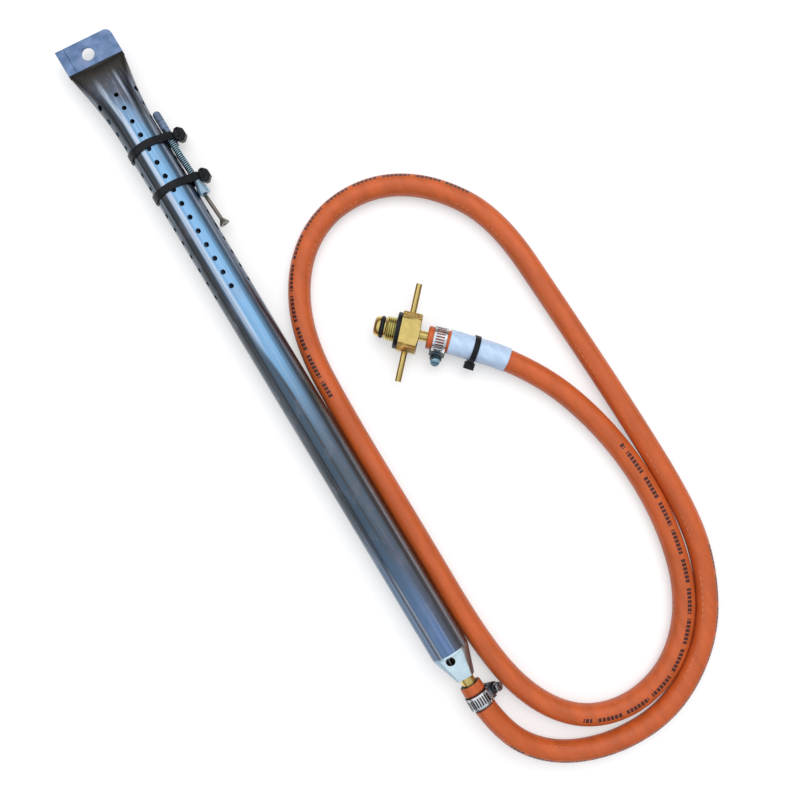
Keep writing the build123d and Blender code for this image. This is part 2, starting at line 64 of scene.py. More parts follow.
# The hose's route in millimetres, from the burner to the connector: (x, y, z).
HOSE_Z = -6.67
CONNECTOR_Z = -1.22
LYING_PART = [
    (552.9, 60.7), (551.3, 106.4), (523.9, 148.3), (482.9, 171), (442, 178.7), (372, 177.8),
    (292, 174.3), (223, 170.6), (184, 146.5), (163.5, 114), (162.8, 76), (184, 43.8),
    (225.3, 23.2), (288, 20.5), (366, 21), (453, 20.4), (497.5, 29.2), (527.1, 50.5),
    (537.5, 83.5), (528, 120.2), (496.8, 149.5), (449.7, 163.2), (397.3, 164.2), (347.4, 153.2),
]
HOSE_ROUTE = [
    (469, 1.7, 0), (502.5, 1.7, 0), (536, 21.5, HOSE_Z + 1.2),
    *((x, y, HOSE_Z) for x, y in LYING_PART),
    (311.9, 135.1, HOSE_Z + 1.4), (282.2, 109.9, CONNECTOR_Z), (265.7, 92.5, CONNECTOR_Z),
]


# ---- sizes and colours ----

def size(name, description, millimetres):
    """A length that a user may change, in metres."""
    return bpy.props.FloatProperty(name=name, description=description, default=millimetres * MM,
                                   min=0, unit="LENGTH", precision=5)


def angle(name, description, degrees):
    return bpy.props.FloatProperty(name=name, description=description, default=radians(degrees),
                                   subtype="ANGLE")


def count(name, description, value):
    return bpy.props.IntProperty(name=name, description=description, default=value, min=1)


def colour(name, description, red, green, blue):
    return bpy.props.FloatVectorProperty(name=name, description=description, size=3, min=0, max=1,
                                         default=(red, green, blue), subtype="COLOR")


class PokerBurner(bpy.types.PropertyGroup):
    tube: size("Tube", "Outside diameter of the burner tube", 25.4)
    wall: size("Wall", "Wall of the burner tube", 1.0)
    flare: size("Flare", "Length over which the tube spreads", 58.0)
    lug_width: size("Lug width", "Width of the flattened end", 37.8)
    lug_side: size("Lug side", "From the tube's axis to the lug's middle, toward -Y", 0.7)
    lug_neck: size("Lug neck", "From the hole's centre to the crease", 8.3)
    lug_edge: size("Lug end", "From the hole's centre to the end of the lug", 9.8)
    lug_skew: angle("Lug skew", "How far askew the end and the crease are cut", 5.0)
    lug_hole: size("Lug hole", "Diameter of the hanging hole", 8.4)
    lug_corner: size("Lug corner", "Radius of the rounded corner", 4.0)
    lug_round: size("Lug edge", "Rounding of the folded edges", 0.8)
    seam: size("Seam", "From the lug's edge to the weld seam", 5.8)
    port: size("Port", "Diameter of a flame port", 3.0)
    port_rim: size("Port rim", "Width of the deburred rim round a port", 0.28)
    port_pitch: size("Port pitch", "From port to port along the tube", 10.0)
    first_port: size("First port", "From the lug hole to the first port", 35.6)
    port_rows: count("Rows", "Rows of ports round the tube", 5)
    ports: count("Ports", "Ports in a row", 15)
    port_roll: angle("Port roll", "Lean of the top row about the tube", 6.5)
    cone_edge: size("Cone edge", "Rounding of the pressed cone's edges", 0.55)


class PokerHose(bpy.types.PropertyGroup):
    outside: size("Outside", "Outside diameter of the hose", 14.5)
    bore: size("Bore", "Bore of the hose", 8.0)
    liner: size("Liner", "Outside diameter of the black liner", 13.2)
    squeeze: size("Squeeze", "How deep a clamp presses into the hose", 0.42)
    swell: size("Swell", "How far the hose swells beside a clamp", 0.16)
    print_repeat: size("Line repeat", "From the start of one printed run to the next", 489.0)
    tag_length: size("Tag length", "Length of the tag along the hose", 38.9)
    tag_start: size("Tag start", "From the hose's end to the tag", 14.2)
    tag_slack: size("Tag slack", "Clearance between the hose and the tag", 0.35)
    tag_film: size("Tag film", "Thickness of the tag", 0.2)
    tag_lap: angle("Tag lap", "How far the tag overlaps itself round the hose", 34)
    tag_tie_place: size("Tie place", "From the tag's near edge to its tie", 15.1)


class PokerConnector(bpy.types.PropertyGroup):
    square: size("Square", "Across the flats of the coupling nut", 25.4)
    corner: size("Corner", "Chamfer of the nut's corners", 5.0)
    body: size("Body", "Length of the nut's square body", 12.5)
    back: size("Back", "Diameter of the nut's flat back", 25.0)
    back_angle: angle("Back angle", "Angle of the turned chamfer on the back", 20.0)
    edge: size("Edge", "Rounding of the nut's edges", 0.3)
    thread: size("Thread", "Diameter over the thread's crests", 16.0)
    thread_length: size("Thread length", "Length of the threaded front", 9.3)
    thread_chamfer: size("Thread chamfer", "Lead-in chamfer of the thread", 0.8)
    pitch: size("Pitch", "Pitch of the cylinder thread", 1.34)
    depth: size("Thread depth", "Depth of the cylinder thread", 0.6)
    seal: size("Seal", "Outside diameter of the seal washer", 23.8)
    seal_length: size("Seal thickness", "Thickness of the seal washer", 3.0)
    bar: size("Bar", "Diameter of a tommy bar", 4.0)
    bar_reach: size("Bar reach", "From the axis to the end of a bar", 32.0)
    bar_inset: size("Bar inset", "From the nut's front face to the bars", 5.6)
    bar_depth: size("Bar depth", "How deep a bar sits in the nut", 3.6)


class PokerClamps(bpy.types.PropertyGroup):
    worm_height: size("Worm height", "From the hose's axis to the worm's", 11.79)
    edge: size("Band edge", "Rounding of the band's edges", 0.1)
    housing_edge: size("Housing edge", "Rounding of the housing's edges", 0.4)
    screw_edge: size("Screw edge", "Rounding of the screw's edges", 0.15)


class PokerFixings(bpy.types.PropertyGroup):
    bolt: size("Bolt", "Diameter of the bolt", 4.0)
    bolt_pitch: size("Bolt pitch", "Pitch of the bolt's thread", 1.3)
    bolt_depth: size("Bolt thread", "Depth of the bolt's thread", 0.34)
    bolt_point: size("Bolt point", "From its tip to its full thickness", 5.2)
    bolt_threaded: size("Bolt threaded", "From its tip to the end of its thread", 39.9)
    screw: size("Screw", "Diameter of the screw", 2.6)
    screw_pitch: size("Screw pitch", "Pitch of the screw's thread", 1.1)
    screw_depth: size("Screw thread", "Depth of the screw's thread", 0.3)
    screw_point: size("Screw point", "From its tip to its full thickness", 4.2)
    screw_threaded: size("Screw threaded", "From its tip to the end of its thread", 31.0)
    tie_edge: size("Tie edge", "Rounding of the cable ties", 0.32)


class PokerColours(bpy.types.PropertyGroup):
    # steel: painted reflection of the blue sky along the top of the burner tube
    steel: colour("Steel", "Blue cast along the top of the burner tube", 0.29, 0.56, 0.86)
    # flank: painted shade on the tube's sides, also the colour of fine dark streaks
    flank: colour("Flank", "Darker steel on the tube's sides", 0.085, 0.095, 0.105)
    lug: colour("Lug", "Blue-grey of the flattened end", 0.15, 0.24, 0.42)
    # tint from heating behind the crease, partly a painted reflection
    heat_and_reflection: colour("Heat tint", "Olive-brown tint behind the crease", 0.068, 0.058, 0.045)
    cone: colour("Cone", "Pressed air cone", 0.71, 0.90, 1.0)
    cone_shade: colour("Cone shade", "Shaded side of the air cone", 0.20, 0.135, 0.12)
    brass: colour("Brass", "Connector and hose tail", 0.80, 0.61, 0.21)
    # tarnish specks on the brass, and also painted shade on its end faces, thread roots and the gas jet
    brass_tarnish_and_shade: colour("Dark brass", "Tarnish in the brass's hollows", 0.19, 0.110, 0.030)
    zinc: colour("Zinc", "Clamp bands and housings", 0.82, 0.87, 0.93)
    worm: colour("Worm screw", "Blue-white zinc of the worm screws", 0.42, 0.66, 0.80)
    bolt: colour("Bolt", "Blue-white zinc of the bolt", 0.52, 0.78, 0.98)
    screw: colour("Screw", "Dull zinc of the screw", 0.36, 0.33, 0.28)
    hose: colour("Hose", "Orange cover of the hose", 0.545, 0.105, 0.022)
    print: colour("Print", "Plain broken line along the hose", 0.035, 0.008, 0.010)
    stitch: colour("Stitch", "Row of stitches along the hose", 0.75, 0.31, 0.17)
    rubber: colour("Rubber", "Seals and liner", 0.006, 0.008, 0.011)
    nylon: colour("Black nylon", "Cable ties", 0.005, 0.006, 0.008)
    plug: colour("Plug", "Grey nylon of the wall plug", 0.13, 0.18, 0.28)
    tag: colour("Tag", "Blank film tag", 0.52, 0.68, 0.90)


class PokerStage(bpy.types.PropertyGroup):
    camera: bpy.props.FloatVectorProperty(name="Camera", description="Place of the camera",
                                          default=(0.2912, 0.0567, 0.6361), size=3,
                                          subtype="TRANSLATION", unit="LENGTH")
    roll: angle("Roll", "Turn of the camera about the vertical", 58.97)
    lens: bpy.props.FloatProperty(name="Lens", description="Focal length", default=44.9, unit="CAMERA")
    sky: bpy.props.FloatProperty(name="Sky", description="Strength of the world", default=1.0, min=0)
    lamp: bpy.props.FloatProperty(name="Lamp", description="Power of the side lamp", default=15.0,
                                  min=0, unit="POWER")


GROUPS = {
    "poker_burner": PokerBurner,
    "poker_hose": PokerHose,
    "poker_connector": PokerConnector,
    "poker_clamps": PokerClamps,
    "poker_fixings": PokerFixings,
    "poker_colours": PokerColours,
    "poker_stage": PokerStage,
}


# ---- places ----

def placement(origin, along, up=(0, 0, 1)):
    """X along a direction and Z as near to up as it can be."""
    x = Vector(along).normalized()
    y = Vector(up).cross(x).normalized()
    z = x.cross(y)
    rows = Matrix((x, y, z)).transposed().to_4x4()
    return Matrix.Translation(Vector(origin)) @ rows


def connector_place():
    """X along the connector toward the hose, from the front face of the nut's body."""
    joint = JOINTS["coupling_nut_spin"]
    return placement(joint["pos_m"], joint["axis"])


def clamp_place(joint_name, hose_direction, worm_height):
    """Origin on the hose's axis under the worm, X along the hose and Z toward the worm."""
    joint = JOINTS[joint_name]
    outward = Vector(joint["axis"]).cross(Vector(hose_direction)).normalized()
    pivot = Vector(joint["pos_m"])
    if outward.z > 0:
        outward.negate()
    return placement(pivot - outward * worm_height, hose_direction, outward)


# ---- modelling ----

def new_object(name, data):
    made = bpy.data.objects.new(name, data)
    bpy.context.scene.collection.objects.link(made)
    return made


def deselect():
    if bpy.context.object and bpy.context.object.mode != "OBJECT":
        done_editing()
    bpy.ops.object.select_all(action="DESELECT")


def pick(*pieces):
    """Selects these pieces alone and makes the first one active."""
    deselect()
    for piece in pieces:
        piece.select_set(True)
    bpy.context.view_layer.objects.active = pieces[0]


def edit(piece):
    pick(piece)
    bpy.ops.object.mode_set(mode="EDIT")
    bpy.ops.mesh.select_all(action="SELECT")


def done_editing():
    bpy.ops.object.mode_set(mode="OBJECT")


def done_outward():
    """Turns the selected faces outward and leaves edit mode."""
    bpy.ops.mesh.normals_make_consistent(inside=False)
    done_editing()


def choose(piece, kind, wanted):
    """Opens a piece with only the faces, or the edges, whose corners pass a test selected."""
    edit(piece)
    bpy.ops.mesh.select_mode(type=kind)
    bpy.ops.mesh.select_all(action="DESELECT")
    done_editing()
    vertices = piece.data.vertices
    for element in piece.data.polygons if kind == "FACE" else piece.data.edges:
        element.select = wanted([vertices[index].co for index in element.vertices])
    bpy.ops.object.mode_set(mode="EDIT")


def apply_place(piece):
    pick(piece)
    bpy.ops.object.transform_apply(location=True, rotation=True, scale=True)


def primitive(kind, **settings):
    """One of Blender's own shapes, with its place in its mesh."""
    deselect()
    getattr(bpy.ops.mesh, f"primitive_{kind}_add")(**settings)
    piece = bpy.context.object
    apply_place(piece)
    return piece


def turned(outline, segments, ring=False):
    """A piece turned about X from (x, radius) points, with flat ends, or closed on itself as a ring."""
    x, radius = outline[0]
    piece = primitive("circle", vertices=segments, radius=radius, location=(x, 0, 0),
                      rotation=(0, pi / 2, 0))
    edit(piece)
    for next_x, next_radius in [*outline[1:], *(outline[:1] if ring else [])]:
        bpy.ops.mesh.extrude_region_move(TRANSFORM_OT_translate={"value": (next_x - x, 0, 0)})
        grow = next_radius / radius
        bpy.ops.transform.resize(value=(1, grow, grow), center_override=(next_x, 0, 0))
        x, radius = next_x, next_radius
    bpy.ops.mesh.select_all(action="SELECT")
    if ring:
        bpy.ops.mesh.remove_doubles(threshold=1e-6)
    else:
        bpy.ops.mesh.fill_holes(sides=0)
    done_outward()
    return piece


def block(lengths, centre):
    return primitive("cube", size=1, location=centre, scale=lengths)


def rod(start, end, diameter, segments=48):
    return turned([(start, diameter / 2), (end, diameter / 2)], segments)


def modify(piece, kind, **settings):
    """Applies a modifier with these settings."""
    pick(piece)
    modifier = piece.modifiers.new(kind, kind)
    for key, value in settings.items():
        setattr(modifier, key, value)
    bpy.ops.object.modifier_apply(modifier=modifier.name)
    return piece


def combine(piece, other, operation="DIFFERENCE"):
    """Cuts a piece with another one, or keeps what both share, and removes the other."""
    modify(piece, "BOOLEAN", operation=operation, solver="EXACT", object=other)
    bpy.data.objects.remove(other)
    return piece


def join(*pieces):
    pick(*pieces)
    bpy.ops.object.join()
    return bpy.context.object


def soften(piece, width, segments=2, sharper_than=40):
    """Rounds the edges that are sharper than an angle."""
    return modify(piece, "BEVEL", width=width, segments=segments, limit_method="ANGLE",
                  angle_limit=radians(sharper_than), harden_normals=False)


def smooth(piece, sharper_than=30):
    pick(piece)
    bpy.ops.object.shade_smooth_by_angle(angle=radians(sharper_than))
    return piece


def ridge(start, end, crest, depth, pitch, segments, lead=0.0):
    """A helical thread ridge about X, trimmed to its length, its crest and a lead-in chamfer."""
    height = depth * 1.35
    piece = primitive("circle", vertices=3, radius=1, rotation=(pi / 2, 0, 0))
    edit(piece)
    bpy.ops.transform.resize(value=(pitch * 0.92 / sqrt(3), 1, height / 1.5),
                             center_override=(0, 0, 0))
    bpy.ops.transform.translate(value=(start - 1.5 * pitch, 0, crest + depth * 0.2 - height * 2 / 3))
    done_editing()
    modify(piece, "SCREW", axis="X", angle=2 * pi, screw_offset=pitch,
           iterations=int((end - start) / pitch + 3), steps=segments, render_steps=segments)
    edit(piece)
    bpy.ops.mesh.fill_holes(sides=0)
    done_outward()
    chamfer = [(start, crest - lead), (start + lead, crest)] if lead else [(start, crest)]
    return combine(piece, turned([*chamfer, (end, crest)], 96), "INTERSECT")


def merged_copy(node_name):
    """A clean copy of a solid's mesh: doubles merged and flat faces made whole."""
    piece = new_object(node_name + "_copy", frame["nodes"][node_name].data.copy())
    piece.data.materials.clear()
    edit(piece)
    bpy.ops.mesh.customdata_custom_splitnormals_clear()
    bpy.ops.mesh.remove_doubles(threshold=2e-6)
    bpy.ops.mesh.dissolve_limited(angle_limit=radians(0.6))
    done_editing()
    return piece


def stand_for(piece, node_name):
    """The piece takes its node's place, on the node's body, and the node is hidden."""
    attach(piece, BODY_OF[node_name])
    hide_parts(node_name)


def finish_piece(piece, name, node_name, material, place=None):
    """Names a piece, puts its place in its mesh, and lets it stand for its node."""
    if place is not None:
        piece.matrix_world = place @ piece.matrix_world
    apply_place(piece)
    piece.name = piece.data.name = name
    piece.data.materials.clear()
    piece.data.materials.append(material)
    stand_for(piece, node_name)
    return piece


def finish_copy(node_name, name, material, edge=0.0, segments=2, sharper_than=40, smooth_to=30):
    """Finishes a solid's clean copy, with its edges rounded."""
    piece = merged_copy(node_name)
    if edge:
        soften(piece, edge, segments, sharper_than)
    return finish_piece(smooth(piece, smooth_to), name, node_name, material)


# ---- materials ----

# where the light is taken to come from: satin_metal and plated_thread paint shade on faces turned away from it
BRIGHT_SIDE = (0.28, 0.18, 0.94)


def is_socket(value):
    return isinstance(value, bpy.types.NodeSocket)


def node(tree, kind, inputs=None, **settings):
    made = tree.nodes.new(kind)
    for key, value in settings.items():
        setattr(made, key, value)
    for key, value in (inputs or {}).items():
        if is_socket(value):
            tree.links.new(value, made.inputs[key])
        else:
            made.inputs[key].default_value = value
    return made


def between(value, low, high, new_low=0.0, new_high=1.0):
    """Moves softly from one number to another as a value goes from low to high."""
    return node(value.id_data, "ShaderNodeMapRange",
                {"Value": value, "From Min": low, "From Max": high, "To Min": new_low,
                 "To Max": new_high}, interpolation_type="SMOOTHSTEP").outputs["Result"]


def fading(value, low, high):
    """From 1 to 0 as a value goes from low to high."""
    return between(value, low, high, 1.0, 0.0)


def mix(factor, first, second):
    """Mixes two colours, given as sockets or as three numbers."""
    made = node(factor.id_data, "ShaderNodeMix", {0: factor}, data_type="RGBA")
    for index, value in ((6, first), (7, second)):
        if is_socket(value):
            factor.id_data.links.new(value, made.inputs[index])
        else:
            made.inputs[index].default_value = (*value, 1)
    return made.outputs[2]


def maths(operation, first, second=0.0, third=0.5):
    """A sum of sockets and numbers; the third one counts only where values wrap."""
    tree = (first if is_socket(first) else second).id_data
    return node(tree, "ShaderNodeMath", {0: first, 1: second, 2: third}, operation=operation).outputs[0]


def plus(first, second):
    return maths("ADD", first, second)


def minus(first, second):
    return maths("SUBTRACT", first, second)


def times(*values):
    """The product of masks."""
    product = values[0]
    for value in values[1:]:
        product = maths("MULTIPLY", product, value)
    return product


def line_at(value, middle, half_width, strength=1.0, solid=0.3):
    """A line where a value passes its middle, full over its solid share and soft to its edge."""
    away = maths("ABSOLUTE", minus(value, middle))
    return between(away, solid * half_width, half_width, strength, 0.0)


def repeated(value, period, filled, start=0.0):
    """1 over the filled share of every period, and 0 between."""
    counted = maths("DIVIDE", minus(value, start), period)
    return maths("LESS_THAN", maths("FRACT", counted), filled)


def shaded(colours, factor):
    """A colour made lighter or darker."""
    return tuple(min(1, value * factor) for value in colours)


class Look:
    """A material in the making: every tint is laid over the tone so far."""

    def __init__(self, name, base, metallic, roughness):
        self.material = bpy.data.materials.new(name)
        self.material.use_nodes = True
        self.tree = self.material.node_tree
        self.inputs = self.tree.nodes["Principled BSDF"].inputs
        self.inputs["Base Color"].default_value = (*base, 1)
        self.inputs["Metallic"].default_value = metallic
        self.inputs["Roughness"].default_value = roughness
        self.base = tuple(base)
        self.relief = None

    def node(self, kind, inputs=None, **settings):
        return node(self.tree, kind, inputs, **settings)

    def spot_on(self, place=None, cell=(1, 1, 1)):
        """Where a point lies along the axes of a place, counted in cells of this size."""
        matrix = place or Matrix.Identity(4)
        origin = self.node("ShaderNodeTexCoord").outputs["Object"]
        return self.node("ShaderNodeMapping", {"Vector": origin, "Location": matrix.translation,
                                               "Rotation": matrix.to_euler(), "Scale": cell},
                         vector_type="TEXTURE").outputs[0]

    def axes(self, place=None):
        """Distances along the three axes of a place."""
        split = self.node("ShaderNodeSeparateXYZ", {0: self.spot_on(place)})
        return split.outputs["X"], split.outputs["Y"], split.outputs["Z"]

    def off_axis(self, place, low, high):
        """From 0 to 1 between two distances from a place's X axis."""
        flat = self.node("ShaderNodeVectorMath", {0: self.spot_on(place), 1: (0, 1, 1)},
                         operation="MULTIPLY").outputs["Vector"]
        length = self.node("ShaderNodeVectorMath", {0: flat}, operation="LENGTH")
        return between(length.outputs["Value"], low, high)

    def grain(self, length, width=None, place=None, detail=3.0):
        """Noise in cells of this length along X, and of this width across it."""
        width = width or length
        spot = self.spot_on(place, (length, width, width))
        return self.node("ShaderNodeTexNoise", {"Vector": spot, "Scale": 1.0, "Detail": detail,
                                                "Roughness": 0.55}).outputs["Fac"]

    def toward(self, direction):
        """1 where a face looks along a direction, and -1 where it looks the other way."""
        normal = self.node("ShaderNodeTexCoord").outputs["Normal"]
        return self.node("ShaderNodeVectorMath", {0: normal, 1: direction},
                         operation="DOT_PRODUCT").outputs["Value"]

    def facing(self, direction, low, high):
        """From 0 to 1 as a face turns toward a direction."""
        return between(self.toward(direction), low, high)

    def end_on(self, place, low, high):
        """From 0 to 1 as a face turns toward either end of a place's X axis."""
        return between(maths("ABSOLUTE", self.toward(place.to_3x3().col[0])), low, high)

    def cloudy(self, noise, dark, light, low=0.3, high=0.7):
        """Starts the tone: the base colour, times dark to times light with a noise."""
        self.tone = mix(between(noise, low, high), shaded(self.base, dark), shaded(self.base, light))

    def tint(self, colour, *masks):
        self.tone = mix(times(*masks), self.tone, colour)

    def tint_where(self, value, low, high, strength, colour):
        """Tints as strongly as this once a value has gone from low to high."""
        self.tint(colour, between(value, low, high, 0.0, strength))

    def rough(self, noise, smoothest, roughest, low=0.3, high=0.7):
        self.tree.links.new(between(noise, low, high, smoothest, roughest), self.inputs["Roughness"])

    def bump(self, height, distance, strength=1.0):
        """Lays relief over the relief so far."""
        below = {} if self.relief is None else {"Normal": self.relief}
        self.relief = self.node("ShaderNodeBump", {"Height": height, "Distance": distance,
                                                   "Strength": strength, **below}).outputs[0]

    def made(self):
        self.tree.links.new(self.tone, self.inputs["Base Color"])
        self.tree.links.new(self.relief, self.inputs["Normal"])
        return self.material


def brushed_steel(colours, burner):
    """Drawn steel with streaks: a painted sky reflection along the top, painted shade and highlights, and a brown
    tint from heating, partly a painted reflection, on the flare.
    """
    look = Look("brushed_burner_steel", colours.steel, 1.0, 0.30)
    along, beside, up = look.axes()
    aside = minus(beside, TUBE_Y)
    across = maths("DIVIDE", aside, burner.tube / 2)
    # how far behind the crease, which is cut askew as the lug's end is
    askew = times(plus(aside, burner.lug_side), tan(burner.lug_skew))
    behind = minus(minus(along, askew), burner.lug_neck)
    fine = look.grain(0.045, 0.00035, detail=2)
    streaks = look.grain(0.30, 0.0022)
    mottle = look.grain(0.007, detail=5)
    patches = look.grain(0.016, 0.010)
    wander = times(minus(streaks, 0.5), 0.15)
    # on the flare the painted sky reflection leans to one side
    side = plus(plus(across, wander), between(behind, 0.012, 0.050, 0.26, 0.0))
    narrowed = plus(side, between(behind, 0.016, 0.044, 0.62, 0.0))
    cut_back = minus(side, between(along, 0.19, 0.26, 0.0, 0.30))
    # band and low_band: where the painted sky reflection lies along the tube's top
    band = times(between(cut_back, -0.38, -0.22), fading(narrowed, 0.42, 0.84),
                 between(up, -0.002, 0.002), between(behind, 0.010, 0.052),
                 between(along, 0.20, 0.31, 1.0, 0.14))
    low_band = times(between(side, 0.50, 0.10), between(along, 0.34, 0.44, 0.0, 0.66))
    # painted shade on the flanks: the right flank turns brownish toward the tail as a painted reflection of the
    # hose, and the flanks are lighter next to the lug
    right_flank = mix(between(along, 0.18, 0.28), (0.115, 0.130, 0.170), (0.150, 0.130, 0.122))
    flank = mix(between(across, -0.2, 0.6), colours.flank, right_flank)
    near_lug = times(fading(behind, 0.010, 0.045), between(up, -0.004, 0.004))
    flank = mix(near_lug, flank, (0.125, 0.130, 0.150))
    # colours of the painted sky reflection: another blue toward the tail, greyer on the flare
    blue = mix(between(along, 0.32, 0.42), colours.steel, (0.29, 0.47, 0.86))
    blue = mix(between(behind, 0.016, 0.055), (0.30, 0.36, 0.50), blue)
    look.tone = mix(maths("MAXIMUM", band, low_band), flank, blue)
    # painted highlight lines along the tube: middle, half width, strength, and where each starts and ends
    for middle, half_width, strength, start, end in (
            (0.78, 0.05, 0.30, 0.0, 0.46), (-0.19, 0.17, 0.80, 0.0, 0.20),
            (-0.95, 0.05, 0.25, 0.1, 0.46), (-0.52, 0.12, 1.0, 0.40, 0.46)):
        look.tint((0.66, 0.74, 0.86), line_at(side, middle, half_width, strength),
                  between(along, start - 0.03, start), fading(along, end, end + 0.03),
                  between(behind, 0.004, 0.030))
    # painted shade on the left flank toward the tail
    look.tint((0.085, 0.125, 0.19), between(along, 0.33, 0.42), between(across, -0.54, -0.64), 0.8)
    # the fold that runs down the flare's side: a painted highlight along its ridge, with painted shade in the
    # valley beside it
    folded = times(between(behind, 0.004, 0.016), fading(behind, 0.040, 0.060), between(up, 0.0, 0.002))
    look.tint((0.045, 0.042, 0.045), line_at(across, 0.80, 0.20, 0.75), folded)
    look.tint((0.50, 0.55, 0.66), line_at(across, 0.58, 0.09, 0.85), folded)
    look.tint_where(streaks, 0.50, 0.62, 0.42, shaded(colours.steel, 0.35))
    look.tint_where(streaks, 0.42, 0.33, 0.30, (0.55, 0.66, 0.82))
    look.tint_where(fine, 0.55, 0.75, 0.35, colours.flank)
    look.tint_where(patches, 0.52, 0.70, 0.22, (0.36, 0.36, 0.46))
    # tint from heating, partly a painted reflection, strongest behind the crease
    look.tint(colours.heat_and_reflection, fading(behind, 0.006, 0.021), between(fine, 0.3, 0.7, 1.0, 0.80))
    lug_tone = mix(between(mottle, 0.34, 0.66), shaded(colours.lug, 0.88), (0.23, 0.33, 0.54))
    lug_tone = mix(between(patches, 0.50, 0.66, 0.0, 0.35), lug_tone, (0.29, 0.33, 0.46))
    look.tint(lug_tone, between(behind, 0.0002, -0.0010))
    # painted shade in the crease between the lug and the flare
    look.tint((0.02, 0.02, 0.025), line_at(behind, 0.0002, 0.0008, 0.85))
    look.rough(fine, 0.24, 0.38, 0.2, 0.8)
    look.bump(fine, 0.00003, 0.5)
    look.bump(mottle, 0.00010, 0.3)
    return look.made()


def satin_metal(name, base, roughness, cell=0.0012, wear=0.12, dark=0.30):
    """Plated metal: a soft cloud of tone, fine marks, and painted shade on the sides turned away from the light.
    """
    look = Look(name, base, 1.0, roughness)
    fine = look.grain(cell, detail=2)
    look.cloudy(look.grain(5 * cell), 1 - wear, 1 + wear)
    # painted shade on faces turned away from the light
    look.tint(shaded(base, dark), look.facing(BRIGHT_SIDE, 0.70, 0.15))
    look.rough(fine, roughness * 0.75, roughness * 1.3, 0.25, 0.75)
    look.bump(fine, 0.00003, 0.6)
    return look.made()


def pressed_cone(colours):
    """Thin pressed steel: a pale front, painted shade on both sides and underneath, and drawing marks along it."""
    look = Look("pressed_cone_steel", colours.cone, 0.45, 0.32)
    marks = look.grain(0.006, 0.0007)
    look.cloudy(look.grain(0.005, 0.003), 0.93, 1.04)
    look.tint_where(marks, 0.55, 0.75, 0.35, (0.42, 0.56, 0.68))
    # painted shade: brownish on the +Y side, a darker blue on the -Y side, darker still underneath
    look.tint(colours.cone_shade, look.facing((0, 1, 0), 0.45, 0.75))
    look.tint((0.36, 0.50, 0.63), look.facing((0, -1, 0), 0.35, 0.70))
    look.tint((0.22, 0.26, 0.30), look.facing((0, 0, -1), -0.1, 0.3))
    look.rough(marks, 0.26, 0.40)
    look.bump(marks, 0.00004, 0.5)
    return look.made()


def brass(name, colours, place, axis=None, roughness=0.24, threads=None):
    """Turned brass: fine rings about the place's X axis, tarnish specks, bright flats, painted shade on the end
    faces and in the thread roots, and a painted highlight on the thread crests.
    """
    look = Look(name, colours.brass, 1.0, roughness)
    cloud = look.grain(0.004, place=place)
    look.cloudy(cloud, 0.88, 1.12, low=0.35)
    look.tint_where(look.grain(0.0006, place=place, detail=2), 0.60, 0.78, 0.28, colours.brass_tarnish_and_shade)
    # painted shade on faces turned along the axis
    look.tint(shaded(colours.brass_tarnish_and_shade, 1.5), look.end_on(axis or place, 0.35, 0.85))
    if threads:
        front, root, crest = threads
        threaded = between(look.axes(place)[0], front, front - 0.0002)
        raised = look.off_axis(place, root, crest)
        # painted highlight on the thread's crests, and painted shade in its roots
        look.tint(shaded(colours.brass, 1.9), threaded, raised)
        look.tint(shaded(colours.brass_tarnish_and_shade, 1.1), threaded, minus(1.0, raised), 0.5)
    look.rough(cloud, roughness * 0.8, roughness * 1.4)
    look.bump(look.grain(0.00025, 0.02, place, 1), 0.00002, 0.5)
    return look.made()


def plated_thread(name, base, place, end, root, crest):
    """A plated screw: bright crests, painted shade in the roots and on the side away from the light."""
    look = Look(name, base, 0.7, 0.24)
    fine = look.grain(0.0012, 0.0006, place, 2)
    look.cloudy(fine, 0.85, 1.15)
    along = look.axes(place)[0]
    # painted shade in the thread's roots
    cut = look.off_axis(place, crest, (crest + root) / 2)
    look.tint(shaded(base, 0.04), cut, between(along, end, end - 0.0005))
    look.tint(shaded(base, 0.60), between(along, end, end + 0.0004))
    # painted shade on the side away from the light
    look.tint(shaded(base, 0.2), look.facing(BRIGHT_SIDE, 0.25, -0.25))
    look.rough(fine, 0.18, 0.32)
    look.bump(fine, 0.00002, 0.4)
    return look.made()


def moulded(name, base, roughness=0.42, specular=0.5):
    """Moulded plastic or rubber with a fine grain."""
    look = Look(name, base, 0.0, roughness)
    fine = look.grain(0.0006)
    look.cloudy(look.grain(0.006, detail=2), 0.8, 1.3)
    look.rough(fine, roughness * 0.8, roughness * 1.2)
    look.inputs["Specular IOR Level"].default_value = specular
    look.bump(fine, 0.00003, 0.5)
    return look.made()


